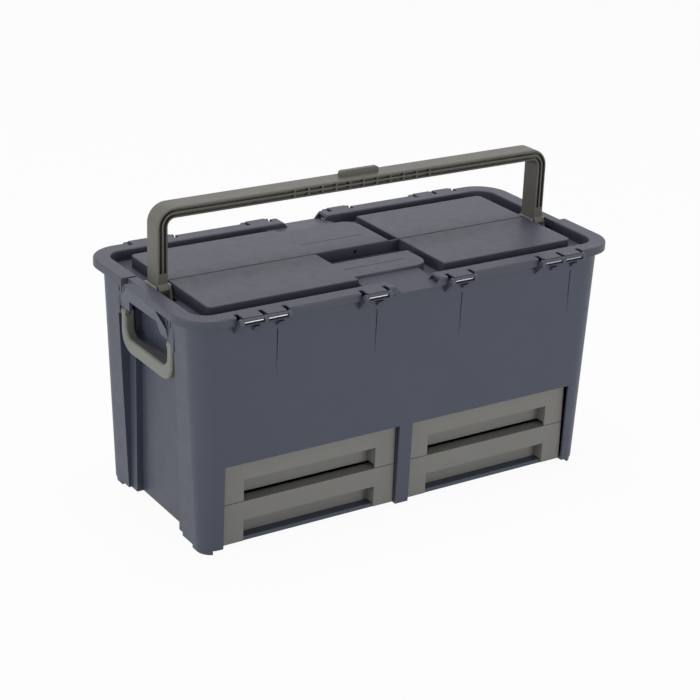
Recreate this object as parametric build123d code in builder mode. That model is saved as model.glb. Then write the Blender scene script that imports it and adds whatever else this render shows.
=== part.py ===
"""A two-lid tool case with four drawers, a folding carry handle and two swinging side grips.

Millimetres. X runs along the case, the front faces -Y, and the floor is Z = 0.
"""

import os

from build123d import *

# Body: a tapered box on low feet, with the drawer bay below a fixed deck
foot_height = 6.0
body_top = 303.0
top_length = 599.0
top_depth = 274.0
end_taper = 13.75
side_taper = 8.0
top_corner = 34.0
base_corner = 21.0
wall = 3.0
deck_thickness = 4.0
flange_thickness = 3.0

# Drawer bay: two columns of two drawers on either side of a hollow divider
divider_width = 19.2
column_width = 26.75
opening_top = 116.5
runner_width = 12.0
runner_thickness = 3.0
base_panel_thickness = 5.3
panel_fit = 0.2
foot_length = 14.0
foot_width = 32.0
foot_inset = 1.5

# Drawers
drawer_recess = 5.0
front_clear = 1.6
drawer_side_gap = 1.2
drawer_seam = 0.8
front_plate = 3.0
pull_depth = 16.0
pull_band = 25.5
upright_width = 29.0
tray_wall = 2.0
tray_side_inset = 1.0
tray_top_drop = 1.5
tray_rear_gap = 7.0
ride_gap = 0.3

# Recess in each end wall for the side grip, in two steps
recess_half = 74.0
ledge_depth = 17.5
panel_half = 58.0
panel_depth = 26.5
recess_drop = 25.0
seam_margin = 1.0

# Hood over the grip, flush at the feet of its legs, proud where it rises between the lid rims
hood_proud = 5.5
hood_half = 60.0
hood_leg = 18.0
hood_leg_drop = 15.5
hood_arch_half = 36.0
hood_shoulder = 1.5
hood_hip_half = 36.0
hood_hip = 18.0
hood_neck_half = 30.0
hood_neck = 23.0
hood_drop = 0.7
slot_count = 3
slot_pitch = 7.0
slot_width = 2.2
slot_height = 18.0
slot_depth = 3.0
slot_drop = 4.0
slot_gap = 1.0

# Lids: a hollow rim round three sides, raised panels and a low centre saddle
rim_overhang_end = 14.25
rim_overhang_side = 6.9
rim_corner = 43.6
rim_width = 21.5
rim_round = 2.0
rim_rise = 8.7
lid_wall = 2.5
lid_seat_gap = 0.3
lid_floor = 2.7
lid_floor_drop = 6.0
lip_overlap = 1.5
split_gap = 1.2
panel_rise = 0.3
panel_end_gap = 1.3
panel_gutter = 20.4
panel_inner_left = 60.0
panel_inner_right = 66.0
panel_round = 1.2
panel_corner = 7.0
saddle_end = 52.0
saddle_corner = 20.0
saddle_step = 10.0
pocket_depth = 41.0
ramp_drop = 4.0
ramp_foot_drop = 1.0
rim_gap_half = 34.0
rim_gap_foot = 25.0
handle_notch_half = 31.5
lock_hole = 4.5
groove_width = 1.2
mark_depth = 0.6
front_groove = 66.0
rear_groove = 36.0

# Coaming round the mouth of the body, inside the hollow rim
coaming_thickness = 2.5
coaming_gap = 0.45

# Lid hinges: steel pins in body ears, hooked by the lid's arms
pin_overhang = 5.1
pin_rise = 3.0
pin_radius = 2.0
pin_fit = 0.05
hook_fit = 0.1
barrel_radius = 4.5
ear_width = 5.0
ear_side_gap = 0.5
ear_tangent = 0.7
gusset_drop = 16.0
ear_drop = 9.0
rest_lug_width = 6.0
rest_lug_height = 9.5
rest_lug_drop = 6.5
rest_lug_reach = 0.6
rest_lug_offset = 9.5
outer_hinge_inset = 82.0
outer_hinge_pitch = 32.0
inner_hinge_centre = 62.8
inner_hinge_pitch = 33.5
hook_mouth = 1.0
notch_inset = 9.9
wall_groove_width = 1.4
wall_groove_depth = 2.0
wall_groove_offset = 8.0
wall_groove_drop = 2.5

# Carry handle
handle_inset = 12.0
handle_rise = 96.3
handle_thickness = 14.0
handle_depth = 29.2
handle_corner = 24.0
handle_edge = 2.0
foot_reach = 18.0
foot_crest = 7.0
channel_end = 13.0
channel_depth = 5.0
lip_thickness = 2.4
web_thickness = 2.0
rib_count = 11
rib_pitch = 20.0
rib_width = 2.2
rib_sink = 0.8
tab_length = 57.0
tab_height = 8.0
tab_thickness = 6.0
tab_corner = 4.0

# Handle brackets and pivot pins
bracket_base = 7.0
foot_clear = 0.9
bracket_half = 30.0
bracket_flange = 4.0
cheek_half = 18.0
bracket_shoulder = 11.0
bracket_crown = 4.5
bracket_crown_half = 13.0
cheek_thickness = 4.0
cheek_gap = 0.6
pivot_radius = 3.0
shelf_half = 44.0

# Side grips
grip_half = 67.0
grip_length = 49.0
grip_bar_height = 19.0
grip_arm_width = 12.0
grip_inset = 2.0
grip_clear = 1.5
grip_corner = 26.0
grip_edge = 3.5
grip_pivot_drop = 7.5
grip_eye_radius = 6.0
grip_pin_radius = 2.5
lug_gap = 0.6
lug_radius = 7.0

# Places that follow from the sizes above: the body
end_plane = top_length / 2
base_length = top_length - 2 * end_taper
base_depth = top_depth - 2 * side_taper
opening_end = base_length / 2 - column_width
deck_bottom = opening_top
deck_top = deck_bottom + deck_thickness
floor_top = foot_height + base_panel_thickness
divider_half = divider_width / 2
recess_ledge = end_plane - ledge_depth
panel_plane = end_plane - panel_depth
recess_top = body_top - recess_drop
leg_foot = recess_top - hood_leg_drop
hood_top = body_top + rim_rise - hood_drop

# The lids
lid_seat = body_top + lid_seat_gap
lid_floor_top = body_top - lid_floor_drop
lid_base = lid_floor_top - lid_floor
lip_bottom = body_top - lip_overlap
rim_top = body_top + rim_rise
panel_top = rim_top + panel_rise
split = split_gap / 2
rim_x = end_plane + rim_overhang_end
rim_y = top_depth / 2 + rim_overhang_side
inner_rim_x = rim_x - rim_width
inner_rim_y = rim_y - rim_width
panel_front = inner_rim_y - panel_gutter
saddle_front = panel_front - saddle_step
ramp_top = panel_top - ramp_drop
ramp_foot = body_top - ramp_foot_drop
coaming_x = inner_rim_x + lid_wall + coaming_gap
coaming_y = inner_rim_y + lid_wall + coaming_gap
coaming_corner = rim_corner - rim_width + lid_wall + coaming_gap
coaming_end_gap = handle_notch_half + lid_wall + coaming_gap
coaming_centre_gap = rim_gap_half + lid_wall + coaming_gap
coaming_top = rim_top - lid_wall - lid_seat_gap

# The handle, its brackets and the side grips
handle_half = end_plane - handle_inset
leg_inner = handle_half - handle_thickness
handle_top = rim_top + handle_rise
bracket_inner = leg_inner - cheek_gap - cheek_thickness
bracket_outer = handle_half + cheek_gap + cheek_thickness
bracket_seat = recess_top + wall
pivot_height = bracket_seat + bracket_base + foot_clear + foot_reach
crest_height = pivot_height + foot_crest
handle_notch_start = bracket_inner - cheek_gap
panel_length_half = handle_notch_start - panel_end_gap
grip_outer = end_plane - grip_inset
grip_depth = grip_outer - recess_ledge - grip_clear
grip_pivot_height = leg_foot - grip_pivot_drop
grip_pivot_plane = grip_outer - grip_eye_radius
grip_bar = grip_pivot_height - grip_length

# The drawers
front_plane = base_depth / 2 - drawer_recess
lower_front = foot_height + front_clear
front_drop = floor_top + ride_gap - lower_front
drawer_height = (opening_top - lower_front - 2 * drawer_seam) / 2
upper_front = lower_front + drawer_height + drawer_seam
runner_top = upper_front + front_drop - ride_gap

# The hinges
pin_offset = rim_y + pin_overhang
pin_height = body_top + pin_rise
gusset_foot = body_top - gusset_drop
ear_foot = body_top - ear_drop
rest_lug_top = body_top - rest_lug_drop
rest_lug_foot = rest_lug_top - rest_lug_height
outer_hinge_centre = end_plane - outer_hinge_inset
notch_depth = rim_y - notch_inset
outer_steps = [step * outer_hinge_pitch for step in (-1, 0, 1)]
inner_steps = [step * inner_hinge_pitch / 2 for step in (-1, 1)]
hinge_groups = [
    [sign * centre + step for step in steps]
    for sign, centre, steps in (
        (-1, outer_hinge_centre, outer_steps),
        (-1, inner_hinge_centre, inner_steps),
        (1, inner_hinge_centre, inner_steps),
        (1, outer_hinge_centre, outer_steps),
    )
]
ear_centres = [x for group in hinge_groups for x in group]
arm_inset = ear_width / 2 + ear_side_gap
arm_spans = [
    (low + arm_inset, high - arm_inset) for group in hinge_groups for low, high in zip(group, group[1:])
]
far = 4 * rim_x


def grow(height, low, high):
    """The size at a height of a wall that leans evenly from its base to its top."""
    return low + (high - low) * (height - foot_height) / (body_top - foot_height)


def half_depth(height):
    return grow(height, base_depth, top_depth) / 2


def brick(x, y, z, mode=Mode.ADD):
    """A box between the given limits on each axis."""
    spans = (x, y, z)
    with Locations(tuple((low + high) / 2 for low, high in spans)):
        Box(*(high - low for low, high in spans), mode=mode)


def both_ends(near, away):
    """The limits of a feature that is repeated at both ends, or both sides, of the case."""
    return (near, away), (-away, -near)


def tapered(low, high, inset):
    """The body's outline between two heights, drawn in by an inset."""
    with BuildPart() as block:
        for height in (low, high):
            with BuildSketch(Plane.XY.offset(height)):
                RectangleRounded(
                    grow(height, base_length, top_length) - 2 * inset,
                    grow(height, base_depth, top_depth) - 2 * inset,
                    grow(height, base_corner, top_corner) - inset,
                )
        loft(ruled=True)
    return block.part


def chamber(low, high, inset):
    """A room inside the body's outline, drawn in by an inset, also round the recesses in its ends."""
    with BuildPart() as room:
        add(tapered(low, high, inset))
        for half, plane in ((recess_half, recess_ledge), (panel_half, panel_plane)):
            for x in both_ends(plane - inset, far):
                brick(x, (-half - inset, half + inset), (0, recess_top + inset), Mode.SUBTRACT)
    return room.part


def ear(centre, side, foot):
    """A hinge ear on the front (-1) or rear (+1) wall, with a gusset that runs down to its foot."""
    root = half_depth(foot) - wall / 2
    slope = barrel_radius * ear_tangent
    with BuildPart() as plate:
        with BuildSketch(Plane.YZ.offset(centre - ear_width / 2)):
            with BuildLine():
                Polyline(
                    (side * root, foot),
                    (side * (pin_offset + slope), pin_height - slope),
                    (side * (pin_offset - barrel_radius), pin_height),
                    (side * root, body_top),
                    close=True,
                )
            make_face()
            with Locations((side * pin_offset, pin_height)):
                Circle(barrel_radius)
                Circle(pin_radius + pin_fit, mode=Mode.SUBTRACT)
        extrude(amount=ear_width)
    return plate.part


def rest_lug(centre, side):
    """A small triangular lug on the wall below the middle of a hook arm."""
    root = half_depth(rest_lug_foot) - wall / 2
    with BuildPart() as lug:
        with BuildSketch(Plane.YZ.offset(centre - rest_lug_width / 2)):
            with BuildLine():
                Polyline(
                    (side * root, rest_lug_foot),
                    (side * (rim_y + rest_lug_reach), rest_lug_top),
                    (side * root, rest_lug_top),
                    close=True,
                )
            make_face()
        extrude(amount=rest_lug_width)
    return lug.part


def base_outline(fit):
    """The base panel's outline inside the walls, with clearance round the recesses and the front post."""
    inset = wall + fit
    with BuildSketch() as outline:
        RectangleRounded(base_length - 2 * inset, base_depth - 2 * inset, base_corner - inset)
        for half, plane in ((recess_half, recess_ledge), (panel_half, panel_plane)):
            reach = base_length / 2 - plane + inset
            with Locations((base_length / 2, 0), (-base_length / 2, 0)):
                Rectangle(2 * reach, 2 * (half + inset), mode=Mode.SUBTRACT)
    return outline.sketch


def hood(end):
    """The plate over a grip: an arch with two legs, and a neck between the rims of the lids."""
    leg_half = hood_half - hood_leg
    half_arch = [
        (hood_arch_half, recess_top),
        (leg_half, leg_foot),
        (hood_half, leg_foot),
        (hood_half, recess_top - hood_shoulder),
        (hood_hip_half, recess_top + hood_hip),
        (hood_neck_half, recess_top + hood_neck),
        (hood_neck_half, hood_top),
    ]
    foot_plane = grow(leg_foot, base_length, top_length) / 2
    hood_plane = end_plane + hood_proud
    hood_back = end_plane - wall + panel_fit
    profile = [
        (foot_plane - wall, leg_foot),
        (foot_plane, leg_foot),
        (hood_plane, recess_top + hood_hip),
        (hood_plane, hood_top),
        (hood_back, hood_top),
    ]
    with BuildPart() as plate:
        with BuildSketch(Plane.YZ):
            with BuildLine():
                Polyline(*half_arch, *[(-y, z) for y, z in half_arch[::-1]], close=True)
            make_face()
        extrude(amount=end * far)
        with BuildSketch(Plane.XZ):
            with BuildLine():
                Polyline(*[(end * x, z) for x, z in profile], close=True)
            make_face()
        extrude(amount=far, both=True, mode=Mode.INTERSECT)
    return plate.part


# The end walls' skins over the tops of the grips' arms, on both sides of each hood
with BuildPart() as brow_skins:
    brow_top = recess_top + wall / 2
    add(tapered(leg_foot, brow_top, 0))
    add(tapered(leg_foot, brow_top, wall), mode=Mode.SUBTRACT)
    brick((-far, far), (hood_leg - hood_half, hood_half - hood_leg), (0, far), Mode.SUBTRACT)
    for y in both_ends(recess_half + wall / 2, far):
        brick((-far, far), y, (0, far), Mode.SUBTRACT)
brows = brow_skins.part

# Body walls with recessed ends, hoods, coaming and hinge ears
room_inside = chamber(foot_height, body_top, wall)
walls_outside = tapered(foot_height, body_top, 0)
wall_fittings = []
groove_places = []
for side in (-1, 1):
    for group in hinge_groups:
        ordered = group[:: -side]
        wall_fittings += [ear(x, side, ear_foot) for x in ordered[1:]]
        wall_fittings.append(ear(ordered[0], side, gusset_foot))
        middles = [(low + high) / 2 for low, high in zip(group, group[1:])]
        wall_fittings += [rest_lug(x - side * rest_lug_offset, side) for x in middles]
        groove_places.append((middles[::-side][-1] - side * wall_groove_offset, side))

with BuildPart() as body_walls:
    add(walls_outside)
    for half, plane in ((recess_half, recess_ledge), (panel_half, panel_plane)):
        for x in both_ends(plane, far):
            brick(x, (-half, half), (0, recess_top), Mode.SUBTRACT)
    add(room_inside, mode=Mode.SUBTRACT)
    # Drawer openings on both sides of the post in the front wall
    for x in both_ends(divider_half, opening_end):
        brick(x, (-far, -half_depth(foot_height) + 2 * wall), (0, opening_top), Mode.SUBTRACT)
    # Runners for the upper drawers on the end walls
    for x in both_ends(opening_end - runner_width, panel_plane - wall / 2):
        brick(x, (-panel_half, panel_half), (runner_top - runner_thickness, runner_top))
    # Shelf under each handle bracket
    for x in both_ends(handle_notch_start, end_plane - wall / 2):
        brick(x, (-shelf_half, shelf_half), (recess_top + wall / 2, bracket_seat))
    # Flange and coaming round the mouth
    with BuildSketch(Plane.XY.offset(body_top - flange_thickness)):
        RectangleRounded(top_length - wall, top_depth - wall, top_corner - wall / 2)
        RectangleRounded(2 * coaming_x, 2 * coaming_y, coaming_corner, mode=Mode.SUBTRACT)
    extrude(amount=flange_thickness)
    with BuildSketch(Plane.XY.offset(body_top)):
        RectangleRounded(
            2 * (coaming_x + coaming_thickness),
            2 * (coaming_y + coaming_thickness),
            coaming_corner + coaming_thickness,
        )
        RectangleRounded(2 * coaming_x, 2 * coaming_y, coaming_corner, mode=Mode.SUBTRACT)
        Rectangle(2 * coaming_centre_gap, far, mode=Mode.SUBTRACT)
        Rectangle(far, 2 * coaming_end_gap, mode=Mode.SUBTRACT)
    extrude(amount=coaming_top - body_top)
    # The bracket's seat is open above the shelf
    for x in both_ends(handle_notch_start, end_plane - wall):
        brick(x, (-coaming_end_gap, coaming_end_gap), (bracket_seat, body_top), Mode.SUBTRACT)
    # The ramp crosses the front and rear walls in a dip
    dip_floor = ramp_foot - lid_wall - lid_seat_gap
    for near, away in both_ends(coaming_y - coaming_thickness, far):
        brick((-coaming_centre_gap, coaming_centre_gap), (near, away), (dip_floor, far), Mode.SUBTRACT)
    # The end walls come down beside the hoods to the tops of the grips
    add(brows)
    # Hoods, each with two lugs for the grip's pins
    for end in (-1, 1):
        add(hood(end))
        crown = sorted((end * (bracket_outer + cheek_gap), end * (end_plane - wall / 2)))
        brick(crown, (-hood_neck_half, hood_neck_half), (recess_top + hood_neck, hood_top))
        for side in (-1, 1):
            lug_plane = Plane.XZ.offset(side * (grip_half + lug_gap))
            with BuildSketch(lug_plane):
                with Locations((end * grip_pivot_plane, (grip_pivot_height + recess_top + wall) / 2)):
                    Rectangle(2 * lug_radius, recess_top + wall - grip_pivot_height)
                with Locations((end * grip_pivot_plane, grip_pivot_height)):
                    Circle(lug_radius)
                    Circle(grip_pin_radius + pin_fit, mode=Mode.SUBTRACT)
            extrude(amount=side * (recess_half - grip_half - lug_gap + wall / 2))
    # Slots in each end wall under the lid's rim, beside the hood
    slot_middle = hood_half + slot_gap
    slot_top = body_top - slot_drop
    for x in both_ends(end_plane - slot_depth, far):
        for side in (-1, 1):
            for step in range(slot_count):
                y = side * (slot_middle + (step - (slot_count - 1) / 2) * slot_pitch)
                z = (slot_top - slot_height, slot_top)
                brick(x, (y - slot_width / 2, y + slot_width / 2), z, Mode.SUBTRACT)
    # Hinge ears and lugs, and the grooves that run down the wall and fade out below each hinge
    add(wall_fittings)
    groove_floor = half_depth(ear_foot) - wall_groove_depth
    with BuildSketch(Plane.XY.offset(deck_top)):
        with Locations(*[(x, side * (groove_floor + wall)) for x, side in groove_places]):
            Rectangle(wall_groove_width, 2 * wall)
    extrude(amount=rest_lug_foot - wall_groove_drop - deck_top, mode=Mode.SUBTRACT)


def wall_piece(x, y):
    """The part of the body's walls between limits in X and Y."""
    with BuildPart() as piece:
        add(body_walls.part)
        brick(x, y, (0, far), Mode.INTERSECT)
    return piece


# The walls are made as a front, a rear and two ends, which meet beside the recesses
seam = recess_half + wall + seam_margin
body_front = wall_piece((-far, far), (-far, -seam))
body_front.part.label = "body_front"
body_rear = wall_piece((-far, far), (seam, far))
body_rear.part.label = "body_rear"
body_end_left = wall_piece((-far, 0), (-seam, seam))
body_end_left.part.label = "body_end_left"
body_end_right = wall_piece((0, far), (-seam, seam))
body_end_right.part.label = "body_end_right"

# Deck over the drawers, on a divider of two skins that carry the inner runners
with BuildPart() as deck_frame:
    add(chamber(deck_bottom, deck_top, wall + panel_fit))
    inside = half_depth(foot_height) - wall - panel_fit
    for x in both_ends(divider_half - tray_wall, divider_half):
        brick(x, (-inside, inside), (floor_top, deck_bottom + deck_thickness / 2))
    runner_start = -front_plane + pull_depth + 2 * tray_wall
    for x in both_ends(divider_half - tray_wall / 2, divider_half + runner_width):
        brick(x, (runner_start, inside), (runner_top - runner_thickness, runner_top))
deck_frame.part.label = "deck_frame"

# Base panel with its feet
base_sketch = base_outline(panel_fit)
with BuildPart() as base_panel:
    with BuildSketch(Plane.XY.offset(foot_height)):
        add(base_sketch)
        # Set back behind the fronts of the lower drawers
        front_edge = front_plane - front_plate - ride_gap
        opening_centre = (divider_half + opening_end) / 2
        with Locations((-opening_centre, -base_depth / 2), (opening_centre, -base_depth / 2)):
            Rectangle(opening_end - divider_half, base_depth - 2 * front_edge, mode=Mode.SUBTRACT)
    extrude(amount=base_panel_thickness)
    with BuildSketch():
        RectangleRounded(
            base_length - 2 * foot_inset, base_depth - 2 * foot_inset, base_corner - foot_inset
        )
        Rectangle(base_length - 2 * foot_length, far, mode=Mode.SUBTRACT)
        Rectangle(far, base_depth - 2 * foot_width, mode=Mode.SUBTRACT)
    extrude(amount=foot_height)
base_panel.part.label = "base_panel"


def lid_outline(inset, side):
    """Half of the lids' plan on the front (-1) or rear (+1) of the split, drawn in by an inset."""
    with BuildSketch() as outline:
        RectangleRounded(2 * (rim_x - inset), 2 * (rim_y - inset), rim_corner - inset)
        with Locations((0, -side * (rim_y - split))):
            Rectangle(far, 2 * rim_y, mode=Mode.SUBTRACT)
    return outline.sketch


def rim_band(side):
    """The rounded rim round three sides of a lid, hollow from below."""
    outer, inner = lid_outline(0, side), lid_outline(rim_width, side)
    room_outer, room_inner = lid_outline(lid_wall, side), lid_outline(rim_width - lid_wall, side)
    cap_x, cap_y = rim_gap_half + lid_wall / 2, handle_notch_half + lid_wall / 2
    with BuildPart() as band:
        with BuildSketch(Plane.XY.offset(lid_base)):
            add(outer)
            add(inner, mode=Mode.SUBTRACT)
        extrude(amount=rim_top - lid_base)
        crest = [edge for edge in band.edges().group_by(Axis.Z)[-1] if abs(edge.center().Y) > split_gap]
        fillet(crest, rim_round)
        # The outer lip ends above the lid's floor
        with BuildSketch(Plane.XY.offset(lid_base)):
            add(outer)
            add(room_inner, mode=Mode.SUBTRACT)
        extrude(amount=lip_bottom - lid_base, mode=Mode.SUBTRACT)
        with BuildSketch(Plane.XY.offset(lip_bottom)):
            add(room_outer)
            add(room_inner, mode=Mode.SUBTRACT)
        extrude(amount=lid_seat - lip_bottom, mode=Mode.SUBTRACT)
        # Above the seat, walls left standing close the ends of the rim
        with BuildSketch(Plane.XY.offset(lid_seat)):
            add(room_outer)
            add(room_inner, mode=Mode.SUBTRACT)
            with Locations((cap_x, 0), (-cap_x, 0)):
                Rectangle(lid_wall, far, mode=Mode.SUBTRACT)
            with Locations((0, side * cap_y)):
                Rectangle(far, lid_wall, mode=Mode.SUBTRACT)
        extrude(amount=rim_top - lid_wall - lid_seat, mode=Mode.SUBTRACT)
    return band.part


def hook_arms(side):
    """The arms that hook a lid over its hinge pins, open towards the outside so that the pins show."""
    y_in = rim_y - rim_round - hook_mouth
    with BuildPart() as arms:
        for start, stop in arm_spans:
            with BuildSketch(Plane.YZ.offset(start)):
                with Locations((side * pin_offset, pin_height)):
                    Circle(barrel_radius)
                with Locations((side * (y_in + pin_offset) / 2, (pin_height + rim_top) / 2)):
                    Rectangle(pin_offset - y_in, rim_top - pin_height)
            extrude(amount=stop - start)
        with BuildSketch(Plane.YZ.offset(-far / 2)):
            with Locations((side * pin_offset, pin_height)):
                Circle(pin_radius + hook_fit)
            with Locations((side * (pin_offset + hook_mouth + barrel_radius / 2), pin_height)):
                Rectangle(barrel_radius, 2 * (pin_radius + hook_fit))
        extrude(amount=far, mode=Mode.SUBTRACT)
    return arms.part


def saddle_points(side):
    """The plan of a lid's left panel and the saddle beside it, less the front lid's finger pocket."""
    start = pocket_depth if side < 0 else split
    pocket_edge = [(-panel_inner_left, split), (-panel_inner_left, start)] if side < 0 else []
    outline = [
        (-panel_length_half, split),
        *pocket_edge,
        (saddle_end, start),
        (saddle_end, saddle_front),
        (-panel_inner_left, saddle_front),
        (-panel_inner_left, panel_front),
        (-panel_length_half, panel_front),
    ]
    return [(x, side * y) for x, y in outline]


def right_panel_points(side):
    """The plan of a lid's right panel."""
    near, away = side * split, side * panel_front
    return [
        (panel_inner_right, near),
        (panel_length_half, near),
        (panel_length_half, away),
        (panel_inner_right, away),
    ]


def panel_plan(points, rounds, inset):
    """A panel's plan with chosen corners rounded, drawn in by an inset."""
    with BuildSketch() as plan:
        with BuildLine():
            Polyline(*points, close=True)
        make_face()
        for corner, radius in rounds:
            fillet(plan.vertices().sort_by_distance(Vector(*corner))[0], radius)
        if inset:
            offset(amount=-inset, kind=Kind.INTERSECTION, mode=Mode.REPLACE)
    return plan.sketch


def raised(plan):
    """A panel standing on the lid's floor, with its top edges eased."""
    with BuildPart() as panel:
        with BuildSketch(Plane.XY.offset(lid_base)):
            add(plan)
        extrude(amount=panel_top - lid_base)
        fillet(panel.edges().group_by(Axis.Z)[-1], panel_round)
    return panel.part


def ramp_height(y):
    """The height of the saddle's ramp, falling from the saddle's front edge to the rim."""
    return ramp_top + (ramp_foot - ramp_top) * (y - saddle_front) / (rim_y - saddle_front)


def rim_gap(side):
    """The opening in the rim above the ramp, wider at the top than at its foot."""
    near, away = inner_rim_y - lid_wall, rim_y + lid_wall
    crest = rim_top + lid_wall
    with BuildPart() as gap:
        with BuildSketch(Plane.YZ.offset(-rim_gap_half)):
            with BuildLine():
                Polyline(
                    (side * near, ramp_height(near)),
                    (side * away, ramp_height(away)),
                    (side * away, crest),
                    (side * near, crest),
                    close=True,
                )
            make_face()
        extrude(amount=2 * rim_gap_half)
        with BuildSketch(Plane.XZ):
            with BuildLine():
                Polyline(
                    (-rim_gap_foot, lip_bottom),
                    (rim_gap_foot, lip_bottom),
                    (rim_gap_half, rim_top),
                    (rim_gap_half, crest),
                    (-rim_gap_half, crest),
                    (-rim_gap_half, rim_top),
                    close=True,
                )
            make_face()
        extrude(amount=far, both=True, mode=Mode.INTERSECT)
    return gap.part


def lid(side):
    """One lid with its rim, raised panels, saddle, ramp and hook arms."""
    rounds = [
        ((saddle_end, side * saddle_front), saddle_corner),
        ((-panel_length_half, side * panel_front), panel_corner),
        ((panel_length_half, side * panel_front), panel_corner),
    ]
    left, right = saddle_points(side), right_panel_points(side)
    plans = [(left, rounds[:2]), (right, rounds[2:])]
    panels = [raised(panel_plan(points, corners, 0)) for points, corners in plans]
    rooms = [panel_plan(points, corners, lid_wall) for points, corners in plans]
    band = rim_band(side)
    arms = hook_arms(side)
    floor = lid_outline(rim_width - lid_wall, side)
    wedge_start, wedge_end = saddle_front - lid_wall, inner_rim_y + lid_wall
    with BuildPart() as moulding:
        add(band)
        add(rim_gap(side), mode=Mode.SUBTRACT)
        # The ramp's plate over the hollow rim, and its solid foot beside the saddle
        with BuildSketch(Plane.YZ.offset(-rim_gap_half)):
            with BuildLine():
                Polyline(
                    (side * inner_rim_y, ramp_height(inner_rim_y)),
                    (side * rim_y, ramp_height(rim_y)),
                    (side * rim_y, ramp_height(rim_y) - lid_wall),
                    (side * inner_rim_y, ramp_height(inner_rim_y) - lid_wall),
                    close=True,
                )
            make_face()
        extrude(amount=2 * rim_gap_half)
        with BuildSketch(Plane.YZ.offset(-panel_inner_left)):
            with BuildLine():
                Polyline(
                    (side * wedge_start, lid_base),
                    (side * wedge_start, ramp_height(wedge_start)),
                    (side * wedge_end, ramp_height(wedge_end)),
                    (side * wedge_end, lid_base),
                    close=True,
                )
            make_face()
        extrude(amount=panel_inner_left + rim_gap_half)
        with BuildSketch(Plane.XY.offset(lid_base)):
            add(floor)
        extrude(amount=lid_floor)
        add(panels)
        # Room under the panels
        with BuildSketch(Plane.XY.offset(lid_base)):
            add(rooms)
        extrude(amount=panel_top - lid_wall - lid_base, mode=Mode.SUBTRACT)
        if side > 0:
            # A low wall closes the gap between the saddle and the right panel along the split
            wall_run = (saddle_end - lid_wall, panel_inner_right + lid_wall)
            brick(wall_run, (split, split + lid_wall), (lid_base, panel_top - panel_round))
        # Notches round the hinge ears and the handle's feet
        notch_run = pin_offset + 2 * barrel_radius - notch_depth
        with BuildSketch(Plane.XY.offset(lid_base)):
            with Locations(*[(x, side * (notch_depth + notch_run / 2)) for x in ear_centres]):
                Rectangle(ear_width + 2 * ear_side_gap, notch_run)
            notch_reach = rim_x - handle_notch_start
            with Locations((rim_x - notch_reach / 2, 0), (-rim_x + notch_reach / 2, 0)):
                Rectangle(notch_reach + panel_fit, 2 * handle_notch_half)
        extrude(amount=panel_top, mode=Mode.SUBTRACT)
        add(arms)
        # The groove along the saddle
        groove = front_groove if side < 0 else rear_groove
        with BuildSketch(Plane.XY.offset(panel_top)):
            with Locations(((saddle_end - saddle_corner - panel_inner_left) / 2, side * groove)):
                Rectangle(panel_inner_left + saddle_end - saddle_corner, groove_width)
        extrude(amount=-mark_depth, mode=Mode.SUBTRACT)
        if side > 0:
            with BuildSketch(Plane.XZ):
                with Locations((0, (lid_floor_top + panel_top) / 2)):
                    Circle(lock_hole / 2)
            extrude(amount=-(split + 2 * lid_wall), mode=Mode.SUBTRACT)
    return moulding


front_lid = lid(-1)
front_lid.part.label = "front_lid"
rear_lid = lid(1)
rear_lid.part.label = "rear_lid"


def rod(plane, place, radius, length):
    """A plain pin, drawn on a plane and run along its normal."""
    with BuildPart() as pin:
        with BuildSketch(plane):
            with Locations(place):
                Circle(radius)
        extrude(amount=length)
        chamfer(pin.edges(), radius / 8)
    return pin


# Hinge pins, one through each group of ears
hinge_pins = []
for side, where in ((-1, "front"), (1, "rear")):
    for number, group in enumerate(hinge_groups, start=1):
        start = group[0] - ear_width / 2
        length = group[-1] - group[0] + ear_width
        pin = rod(Plane.YZ.offset(start), (side * pin_offset, pin_height), pin_radius, length)
        pin.part.label = f"{where}_hinge_pin_{number}"
        hinge_pins.append(pin)


def hoop(inset, bottom):
    """The handle's outline seen from the front, drawn in by an inset and cut off at a height."""
    with BuildSketch() as outline:
        with Locations((0, (bottom + handle_top - inset) / 2)):
            Rectangle(2 * (handle_half - inset), handle_top - inset - bottom)
        fillet(outline.vertices().group_by(Axis.Y)[-1], handle_corner - inset)
    return outline.sketch


channel_width = (handle_thickness - 2 * lip_thickness - web_thickness) / 2
channel_insets = (lip_thickness, lip_thickness + channel_width + web_thickness)
handle_outside = hoop(0, crest_height)
handle_inside = hoop(handle_thickness, crest_height)
channel_foot = crest_height + channel_end
channel_bands = [
    (hoop(near, channel_foot), hoop(near + channel_width, channel_foot)) for near in channel_insets
]

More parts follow.
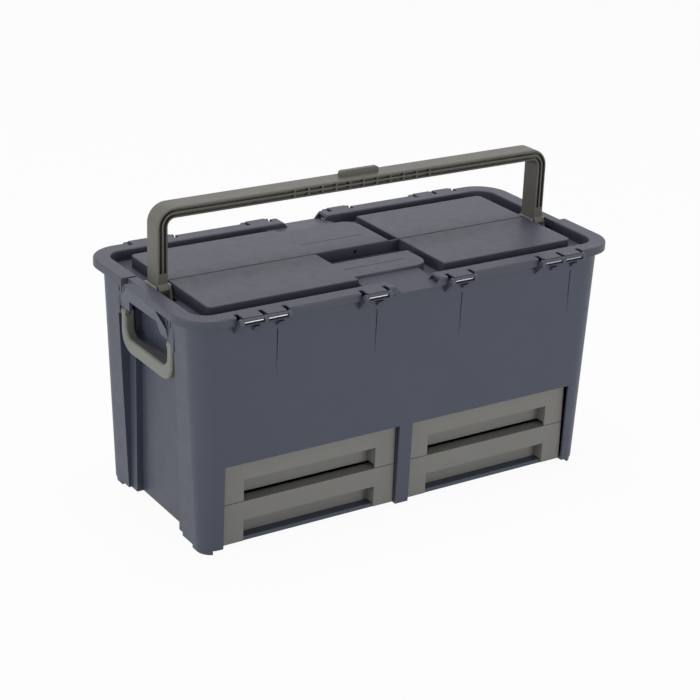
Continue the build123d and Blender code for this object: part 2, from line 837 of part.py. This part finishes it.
# Carry handle: a bar and two legs with grooved faces, ribbed along the grip
with BuildPart() as carry_handle:
    with BuildSketch(Plane.XZ):
        add(handle_outside)
        add(handle_inside, mode=Mode.SUBTRACT)
    extrude(amount=handle_depth / 2, both=True)
    long_edges = carry_handle.faces().filter_by(Axis.Y).edges()
    fillet([edge for edge in long_edges if edge.center().Z > crest_height + handle_edge], handle_edge)
    for face_side in (-1, 1):
        with BuildSketch(Plane.XZ.offset(face_side * handle_depth / 2)):
            for outer, inner in channel_bands:
                add(outer)
                add(inner, mode=Mode.SUBTRACT)
        extrude(amount=-face_side * channel_depth, mode=Mode.SUBTRACT)
    with BuildSketch(Plane.XZ):
        with Locations((0, handle_top - handle_thickness / 2)):
            with GridLocations(rib_pitch, rib_pitch, rib_count, 1):
                Rectangle(rib_width, handle_thickness - 2 * lip_thickness)
    extrude(amount=handle_depth / 2 - rib_sink, both=True)
    tab_root = handle_thickness / 2
    with BuildSketch(Plane.XZ) as tab:
        with Locations((0, handle_top + (tab_height - tab_root) / 2)):
            Rectangle(tab_length, tab_height + tab_root)
        fillet(tab.vertices().group_by(Axis.Y)[-1], tab_corner)
    extrude(amount=tab_thickness / 2, both=True)
    # Each foot flares below the leg and is round under its pivot
    for leg in (leg_inner, -handle_half):
        with BuildSketch(Plane.YZ.offset(leg)):
            with Locations((0, pivot_height)):
                Circle(foot_reach)
            with Locations((0, pivot_height + foot_reach / 2)):
                Rectangle(2 * foot_reach, foot_reach, mode=Mode.SUBTRACT)
            with BuildLine():
                Polyline(
                    (-handle_depth / 2, crest_height),
                    (handle_depth / 2, crest_height),
                    (foot_reach, pivot_height),
                    (-foot_reach, pivot_height),
                    close=True,
                )
            make_face()
            with Locations((0, pivot_height)):
                Circle(pivot_radius + pin_fit, mode=Mode.SUBTRACT)
        extrude(amount=handle_thickness)
carry_handle.part.label = "carry_handle"


def handle_bracket(end):
    """The bracket that carries one leg of the handle between two cheeks."""
    flange, shoulder = bracket_seat + bracket_flange, bracket_seat + bracket_shoulder
    crown = pivot_height + bracket_crown
    with BuildPart() as bracket:
        with BuildSketch(Plane.YZ.offset(end * bracket_inner)):
            with BuildLine():
                Polyline(
                    (-bracket_half, bracket_seat),
                    (-bracket_half, flange),
                    (-cheek_half, shoulder),
                    (-bracket_crown_half, crown),
                    (bracket_crown_half, crown),
                    (cheek_half, shoulder),
                    (bracket_half, flange),
                    (bracket_half, bracket_seat),
                    close=True,
                )
            make_face()
            with Locations((0, pivot_height)):
                Circle(pivot_radius + pin_fit, mode=Mode.SUBTRACT)
        extrude(amount=end * (bracket_outer - bracket_inner))
        slot = sorted((end * (leg_inner - cheek_gap), end * (handle_half + cheek_gap)))
        brick(slot, (-far, far), (bracket_seat + bracket_base, far), Mode.SUBTRACT)
    return bracket


def side_grip(end):
    """A swinging bail grip with an eye at the top of each arm."""
    inner_half = grip_half - grip_arm_width
    bar_top = grip_bar + grip_bar_height
    with BuildPart() as grip:
        with BuildSketch(Plane.YZ.offset(end * (grip_outer - grip_depth))) as face:
            with Locations((0, (grip_bar + grip_pivot_height) / 2)):
                Rectangle(2 * grip_half, grip_pivot_height - grip_bar)
            fillet(face.vertices().group_by(Axis.Y)[0], grip_corner)
            with BuildSketch(mode=Mode.SUBTRACT) as window:
                with Locations((0, (bar_top + grip_pivot_height) / 2)):
                    Rectangle(2 * inner_half, grip_pivot_height - bar_top)
                fillet(window.vertices().group_by(Axis.Y)[0], grip_corner - grip_arm_width)
        extrude(amount=end * grip_depth)
        rims = grip.faces().filter_by(Axis.X).edges()
        fillet([edge for edge in rims if edge.center().Z < grip_pivot_height - grip_edge / 8], grip_edge)
        for side in (-1, 1):
            with BuildSketch(Plane.XZ.offset(side * inner_half)):
                with Locations((end * grip_pivot_plane, grip_pivot_height)):
                    Circle(grip_eye_radius)
            extrude(amount=side * grip_arm_width)
        with BuildSketch(Plane.XZ):
            with Locations((end * grip_pivot_plane, grip_pivot_height)):
                Circle(grip_pin_radius + pin_fit)
        extrude(amount=far, both=True, mode=Mode.SUBTRACT)
    return grip


# Brackets, pivot pins, grips and grip pins at both ends
end_pieces = []
for end, where in ((-1, "left"), (1, "right")):
    bracket = handle_bracket(end)
    bracket.part.label = f"handle_bracket_{where}"
    pivot_length = bracket_outer - bracket_inner
    pivot = rod(Plane.YZ.offset(end * bracket_inner), (0, pivot_height), pivot_radius, end * pivot_length)
    pivot.part.label = f"handle_pivot_pin_{where}"
    grip = side_grip(end)
    grip.part.label = f"side_grip_{where}"
    end_pieces += [bracket, pivot, grip]
    for side, face in ((-1, "rear"), (1, "front")):
        pin_start = grip_half - grip_arm_width
        grip_pin = rod(
            Plane.XZ.offset(side * pin_start),
            (end * grip_pivot_plane, grip_pivot_height),
            grip_pin_radius,
            side * (recess_half - pin_start),
        )
        grip_pin.part.label = f"grip_pin_{where}_{face}"
        end_pieces.append(grip_pin)


def drawer(column, bottom):
    """A drawer with a finger pull across its front, in the left (-1) or right (+1) column."""
    inner = divider_half + drawer_side_gap
    outer = opening_end - drawer_side_gap
    top = bottom + drawer_height
    tray_front = -front_plane + pull_depth
    tray_rear = half_depth(foot_height) - wall - tray_rear_gap

    def across(low, high):
        return sorted((column * low, column * high))

    with BuildPart() as box:
        brick(across(inner, outer), (-front_plane, tray_front + tray_wall), (bottom + front_drop, top))
        brick(across(inner, outer), (-front_plane, -front_plane + front_plate), (bottom, top))
        pull = across(inner + upright_width, outer - upright_width)
        brick(pull, (-far, tray_front), (bottom - front_plate, top - pull_band), Mode.SUBTRACT)
        hollow = (-front_plane + front_plate, tray_front)
        hollow_height = (bottom - front_plate, top - front_plate)
        brick(pull, hollow, hollow_height, Mode.SUBTRACT)
        for low, high in ((inner, inner + upright_width), (outer - upright_width, outer)):
            brick(across(low + front_plate, high - front_plate), hollow, hollow_height, Mode.SUBTRACT)
        tray = (inner + tray_side_inset, outer - tray_side_inset)
        brick(across(*tray), (tray_front, tray_rear), (bottom + front_drop, top - tray_top_drop))
        brick(
            across(tray[0] + tray_wall, tray[1] - tray_wall),
            (tray_front + tray_wall, tray_rear - tray_wall),
            (bottom + front_drop + tray_wall, top + tray_wall),
            Mode.SUBTRACT,
        )
    return box


drawers = []
for column, where in ((-1, "left"), (1, "right")):
    for level, bottom in (("upper", upper_front), ("lower", lower_front)):
        box = drawer(column, bottom)
        box.part.label = f"drawer_{level}_{where}"
        drawers.append(box)

os.makedirs("parts", exist_ok=True)
body_pieces = [body_front, body_rear, body_end_left, body_end_right, deck_frame]
loose_pieces = [base_panel, front_lid, rear_lid, carry_handle]
for piece in body_pieces + loose_pieces + hinge_pins + end_pieces + drawers:
    export_step(piece.part, f"parts/{piece.part.label}.step")
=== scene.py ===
# %% [markdown]
# # A tool case with two lids and four drawers
# The case is moulded in slate-blue polypropylene, with grey drawers, a grey folding handle and steel
# hinge pins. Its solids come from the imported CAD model, in metres, with the front facing -Y and the
# floor at Z = 0. This lesson dresses those solids: first a camera, then the finishes, and last a floor
# and soft light.

import bpy
from mathutils import Matrix, Vector

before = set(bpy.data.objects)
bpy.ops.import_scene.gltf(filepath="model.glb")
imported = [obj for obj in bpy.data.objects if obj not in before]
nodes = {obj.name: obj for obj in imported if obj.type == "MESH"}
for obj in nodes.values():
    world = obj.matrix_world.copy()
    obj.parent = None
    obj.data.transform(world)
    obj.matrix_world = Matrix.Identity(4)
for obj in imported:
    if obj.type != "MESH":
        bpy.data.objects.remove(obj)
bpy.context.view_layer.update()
MM = 0.001

# %% [markdown]
# ## Camera
# The photograph was taken from the front left, a little above the lids, with a longish lens and a
# slight tilt. The place and the turn of the camera were worked out from the corners of the lids, the
# drawers and the handle. A camera looks along its own -Z with +Y up, so its matrix has the right, up
# and backward directions as columns.

# %% Camera at the photograph's viewing angle
camera_data = bpy.data.cameras.new("photo_camera")
camera_data.sensor_width = 36.0
camera_data.lens = 96.7
camera_data.shift_x = -0.001
camera_data.shift_y = -0.0026
camera = bpy.data.objects.new("photo_camera", camera_data)
bpy.context.scene.collection.objects.link(camera)
right = Vector((0.84471, -0.53416, 0.03378))
down = Vector((-0.17873, -0.34101, -0.92291))
forward = Vector((0.50450, 0.77355, -0.38352))
turn = Matrix((right, -down, -forward)).transposed().to_4x4()
camera.matrix_world = Matrix.Translation(Vector((-1.2334, -1.8885, 1.1086))) @ turn
bpy.context.scene.camera = camera
bpy.context.scene.view_settings.view_transform = "Standard"
print("camera distance in m:", round(camera.location.length, 3))

# %% [markdown]
# ## Colours and nodes
# Colours are written as sRGB hex values, as a paint program shows them, and shaders need them linear.
# One small function adds a node: settings go to its properties or its input sockets, and links name the
# sockets that come from other nodes. It serves materials and the world alike, because both own a node
# tree.

# %% Helpers for colours and shader nodes
def linear(code):
    """An sRGB hex colour as the linear RGBA that a shader takes."""
    values = [int(code[i : i + 2], 16) / 255 for i in (1, 3, 5)]
    return (*[v / 12.92 if v <= 0.04045 else ((v + 0.055) / 1.055) ** 2.4 for v in values], 1.0)


def add_node(owner, kind, settings=None, links=None):
    """Adds a shader node, sets its properties or sockets, and links sockets from other nodes' outputs."""
    tree = owner.node_tree
    node = tree.nodes.new(kind)
    for name, value in (settings or {}).items():
        if isinstance(name, str) and hasattr(node, name):
            setattr(node, name, value)
        else:
            node.inputs[name].default_value = value
    for socket, source in (links or {}).items():
        tree.links.new(source, node.inputs[socket])
    return node


def new_material(name):
    """An empty node material, with its shader linked to the surface."""
    material = bpy.data.materials.new(name)
    material.use_nodes = True
    material.node_tree.nodes.clear()
    shader = add_node(material, "ShaderNodeBsdfPrincipled")
    add_node(material, "ShaderNodeOutputMaterial", links={"Surface": shader.outputs[0]})
    return material, shader


def per_metre(size_mm):
    """The texture scale that repeats about once in a size given in millimetres."""
    return 1.0 / (size_mm * MM)


# %% [markdown]
# ## Moulded polypropylene
# Nearly all of the case is injection-moulded polypropylene. Its tool is spark-eroded, so the skin has a
# fine pebbled grain that breaks the gloss into a soft sheen. Handling leaves faint pale rubbed marks, and
# the
# edges are painted paler still: partly worn plastic, partly a painted highlight where the rounded edges
# catch the light. The colour is never quite even over a large wall. The grain of such a skin is about 0.3
# mm wide, which is finer than a pixel here, so it is drawn at about 1 mm.

# %% Material for moulded polypropylene
MOTTLE_MM = 90.0
RUB_MM = 14.0
EDGE_RADIUS_MM = 0.7
UNEVEN_SHARE = 0.1
SHEEN_SPREAD = 0.06
POLYPROPYLENE_IOR = 1.49


def shade(colour, factor):
    """A linear colour made lighter or darker by a factor."""
    return tuple(factor * channel for channel in colour[:3]) + (1.0,)


def moulded_polypropylene(name, colour, worn_and_highlit_tint, roughness, grain_mm, grain_height_mm):
    """Grained plastic: soft sheen, faint mottling, edges painted paler as worn plastic and as a painted
    highlight.
    """
    material, shader = new_material(name)
    place = add_node(material, "ShaderNodeTexCoord").outputs["Object"]
    mottle = add_node(
        material, "ShaderNodeTexNoise", {"Scale": per_metre(MOTTLE_MM), "Detail": 4.0}, {"Vector": place}
    )
    grain = add_node(
        material, "ShaderNodeTexNoise", {"Scale": per_metre(grain_mm), "Detail": 2.0}, {"Vector": place}
    )
    rub = add_node(
        material,
        "ShaderNodeTexNoise",
        {"Scale": per_metre(RUB_MM), "Detail": 8.0, "Roughness": 0.7},
        {"Vector": place},
    )
    rounded = add_node(material, "ShaderNodeBevel", {"samples": 4, "Radius": EDGE_RADIUS_MM * MM})
    flat = add_node(material, "ShaderNodeNewGeometry")
    facing = add_node(
        material,
        "ShaderNodeVectorMath",
        {"operation": "DOT_PRODUCT"},
        {0: rounded.outputs[0], 1: flat.outputs["Normal"]},
    )
    # Edges found from the rounded normal are painted paler: partly worn plastic, partly a painted
    # highlight of the light the rounded edges catch.
    edge = add_node(
        material,
        "ShaderNodeMapRange",
        {"From Min": 0.99, "From Max": 0.80, "To Min": 0.0, "To Max": 0.45},
        {"Value": facing.outputs["Value"]},
    )
    worn = add_node(
        material,
        "ShaderNodeMapRange",
        {"From Min": 0.45, "From Max": 0.75, "To Min": 0.25, "To Max": 1.0},
        {"Value": rub.outputs[0]},
    )
    worn_and_highlit_share = add_node(
        material, "ShaderNodeMath", {"operation": "MULTIPLY"}, {0: edge.outputs[0], 1: worn.outputs[0]}
    )
    base = linear(colour)
    uneven = add_node(
        material,
        "ShaderNodeMix",
        {"data_type": "RGBA", 6: shade(base, 1 - UNEVEN_SHARE), 7: shade(base, 1 + UNEVEN_SHARE)},
        {0: mottle.outputs[0]},
    )
    worn_and_highlit_colour = add_node(
        material,
        "ShaderNodeMix",
        {"data_type": "RGBA", 7: linear(worn_and_highlit_tint)},
        {0: worn_and_highlit_share.outputs[0], 6: uneven.outputs[2]},
    )
    sheen = add_node(
        material,
        "ShaderNodeMapRange",
        {
            "From Min": 0.3,
            "From Max": 0.7,
            "To Min": roughness - SHEEN_SPREAD,
            "To Max": roughness + SHEEN_SPREAD,
        },
        {"Value": rub.outputs[0]},
    )
    pebbles = add_node(
        material,
        "ShaderNodeBump",
        {"Strength": 0.35, "Distance": grain_height_mm * MM},
        {"Height": grain.outputs[0], "Normal": rounded.outputs[0]},
    )
    tree = material.node_tree
    tree.links.new(worn_and_highlit_colour.outputs[2], shader.inputs["Base Color"])
    tree.links.new(sheen.outputs[0], shader.inputs["Roughness"])
    tree.links.new(pebbles.outputs[0], shader.inputs["Normal"])
    shader.inputs["IOR"].default_value = POLYPROPYLENE_IOR
    shader.inputs["Specular IOR Level"].default_value = 0.45
    return material


slate_body = moulded_polypropylene("polypropylene_slate_grained", "#484E5D", "#7A808F", 0.46, 1.1, 0.05)
slate_lid = moulded_polypropylene("polypropylene_slate_lid", "#4B4D5A", "#7F818D", 0.48, 1.1, 0.05)
warm_grey = moulded_polypropylene("polypropylene_warm_grey_satin", "#868581", "#A5A4A0", 0.50, 0.9, 0.03)
taupe_grey = moulded_polypropylene("polypropylene_taupe_handle", "#6B6861", "#96938B", 0.45, 0.9, 0.03)
stone_grey = moulded_polypropylene("polypropylene_stone_grip", "#7F817A", "#A5A79F", 0.45, 0.9, 0.03)
# The bracket's grey is painted lighter than the handle's: a painted highlight for the light its glossy top
# catches.
bracket_grey_painted_highlight = moulded_polypropylene("polypropylene_grey_bracket_painted_highlight", "#A09D97", "#BDBAB3", 0.42, 0.9, 0.03)
print("plastics:", [m.name for m in (slate_body, slate_lid, warm_grey, taupe_grey, stone_grey, bracket_grey_painted_highlight)])

# %% [markdown]
# ## Drawn steel
# The hinge, pivot and grip pins are plain steel rod. Drawing the rod through a die leaves fine lines
# along it, so the highlight is stretched round the pin. A metal keeps the default IOR, and its colour
# is its reflectance.

# %% Material for drawn steel rod
LINE_MM = 0.5
LINE_STRETCH = 0.02
SCRATCH_DEPTH_MM = 0.02


def drawn_steel(name, along):
    """Bright rod with fine drawing lines along one axis."""
    material, shader = new_material(name)
    place = add_node(material, "ShaderNodeTexCoord").outputs["Object"]
    stretch = [LINE_STRETCH if axis == along else 1.0 for axis in "XYZ"]
    lay = add_node(material, "ShaderNodeMapping", {"Scale": stretch}, {"Vector": place})
    lines = add_node(
        material,
        "ShaderNodeTexNoise",
        {"Scale": per_metre(LINE_MM), "Detail": 3.0},
        {"Vector": lay.outputs[0]},
    )
    tone = add_node(
        material,
        "ShaderNodeMix",
        {"data_type": "RGBA", 6: linear("#85878A"), 7: linear("#B4B5B5")},
        {0: lines.outputs[0]},
    )
    dull = add_node(
        material, "ShaderNodeMapRange", {"To Min": 0.18, "To Max": 0.36}, {"Value": lines.outputs[0]}
    )
    scratch = add_node(
        material,
        "ShaderNodeBump",
        {"Strength": 0.2, "Distance": SCRATCH_DEPTH_MM * MM},
        {"Height": lines.outputs[0]},
    )
    tree = material.node_tree
    tree.links.new(tone.outputs[2], shader.inputs["Base Color"])
    tree.links.new(dull.outputs[0], shader.inputs["Roughness"])
    tree.links.new(scratch.outputs[0], shader.inputs["Normal"])
    shader.inputs["Metallic"].default_value = 1.0
    return material


steel_along_case = drawn_steel("steel_rod_drawn_along_x", "X")
steel_across_case = drawn_steel("steel_rod_drawn_along_y", "Y")
print("steels:", steel_along_case.name, steel_across_case.name)

# %% [markdown]
# ## Dressing the solids
# A solid's name says what it is, so the name picks its finish. The walls, the deck and the base are
# what is left, and they take the body's plastic. Pins that run along the case and pins that run across
# it have their drawing lines along their own axis.

# %% Give each solid its finish
def dress(name, material):
    """Puts one finish in all of a node's material slots."""
    mesh = nodes[name].data
    if not mesh.materials:
        mesh.materials.append(material)
    for index in range(len(mesh.materials)):
        mesh.materials[index] = material


for name in nodes:
    if "lid" in name:
        dress(name, slate_lid)
    elif name.startswith("drawer"):
        dress(name, warm_grey)
    elif "bracket" in name:
        dress(name, bracket_grey_painted_highlight)
    elif name == "carry_handle":
        dress(name, taupe_grey)
    elif name.startswith("side_grip"):
        dress(name, stone_grey)
    elif name.startswith("grip_pin"):
        dress(name, steel_across_case)
    elif "pin" in name:
        dress(name, steel_along_case)
    else:
        dress(name, slate_body)
print("solids dressed:", len(nodes))

# %% [markdown]
# ## Floor and light
# The case stands in a white studio. Turning up the lamps until the floor is white would also bleach the
# plastic, so the floor is lit at a plain level and only shows itself brighter to the camera: Light Path
# tells camera rays, and the rays that glance off steel, from the rays that light the case. Part of the
# floor's own shading is kept in the mix, so that the soft shadow under the case stays.

# %% Pale floor
FLOOR_SIZE = 24.0
FLOOR_WHITE_SHARE = 0.95
bpy.ops.object.select_all(action="DESELECT")
bpy.ops.mesh.primitive_plane_add(size=FLOOR_SIZE, location=(0.0, 0.0, 0.0))
floor = bpy.context.object
floor.name = "studio_floor"
paper, paper_shader = new_material("studio_paper_white")
paper_shader.inputs["Base Color"].default_value = linear("#F4F4F4")
paper_shader.inputs["Roughness"].default_value = 0.9
white = add_node(paper, "ShaderNodeEmission", {"Color": (1.0, 1.0, 1.0, 1.0), "Strength": 1.0})
paper_ray = add_node(paper, "ShaderNodeLightPath")
paper_seen = add_node(
    paper,
    "ShaderNodeMath",
    {"operation": "MAXIMUM"},
    {0: paper_ray.outputs["Is Camera Ray"], 1: paper_ray.outputs["Is Glossy Ray"]},
)
share = add_node(
    paper, "ShaderNodeMath", {"operation": "MULTIPLY", 1: FLOOR_WHITE_SHARE}, {0: paper_seen.outputs[0]}
)
blend = add_node(
    paper,
    "ShaderNodeMixShader",
    links={0: share.outputs[0], 1: paper_shader.outputs[0], 2: white.outputs[0]},
)
paper_out = next(node for node in paper.node_tree.nodes if node.type == "OUTPUT_MATERIAL")
paper.node_tree.links.new(blend.outputs[0], paper_out.inputs["Surface"])
floor.data.materials.append(paper)
print("floor side in m:", FLOOR_SIZE)

# %% [markdown]
# ## Soft boxes
# Wide area lamps stand in for soft boxes: one overhead, the strongest, because the lids are the
# brightest faces, a key from the front right that keeps the front wall darker than the lids, and a fill
# from the left. The world shines weakly on the case and shows white to the camera.

# %% Soft studio light
SOFT_BOX_SIZE = 1.6
WORLD_LIGHT = 0.22
CASE_MIDDLE = Vector((0.0, 0.0, 0.2))


def soft_box(name, place, power):
    """A wide area lamp that looks at the middle of the case."""
    lamp_data = bpy.data.lights.new(name, "AREA")
    lamp_data.shape = "DISK"
    lamp_data.size = SOFT_BOX_SIZE
    lamp_data.energy = power
    lamp = bpy.data.objects.new(name, lamp_data)
    lamp.location = place
    lamp.rotation_euler = (CASE_MIDDLE - Vector(place)).to_track_quat("-Z", "Y").to_euler()
    bpy.context.scene.collection.objects.link(lamp)


soft_box("key_front_right", (1.2, -3.0, 0.8), 22.0)
soft_box("top", (0.0, 0.3, 3.0), 36.0)
soft_box("fill_left", (-3.0, -0.4, 0.8), 24.0)
world = bpy.data.worlds.new("white_studio")
bpy.context.scene.world = world
world.use_nodes = True
world.node_tree.nodes.clear()
sky_ray = add_node(world, "ShaderNodeLightPath")
sky_seen = add_node(
    world,
    "ShaderNodeMath",
    {"operation": "MAXIMUM"},
    {0: sky_ray.outputs["Is Camera Ray"], 1: sky_ray.outputs["Is Glossy Ray"]},
)
strength = add_node(
    world, "ShaderNodeMapRange", {"To Min": WORLD_LIGHT, "To Max": 1.0}, {"Value": sky_seen.outputs[0]}
)
glow = add_node(
    world, "ShaderNodeBackground", {"Color": (1.0, 1.0, 1.0, 1.0)}, {"Strength": strength.outputs[0]}
)
add_node(world, "ShaderNodeOutputWorld", links={"Surface": glow.outputs[0]})
print("lamps:", len(bpy.data.lights))
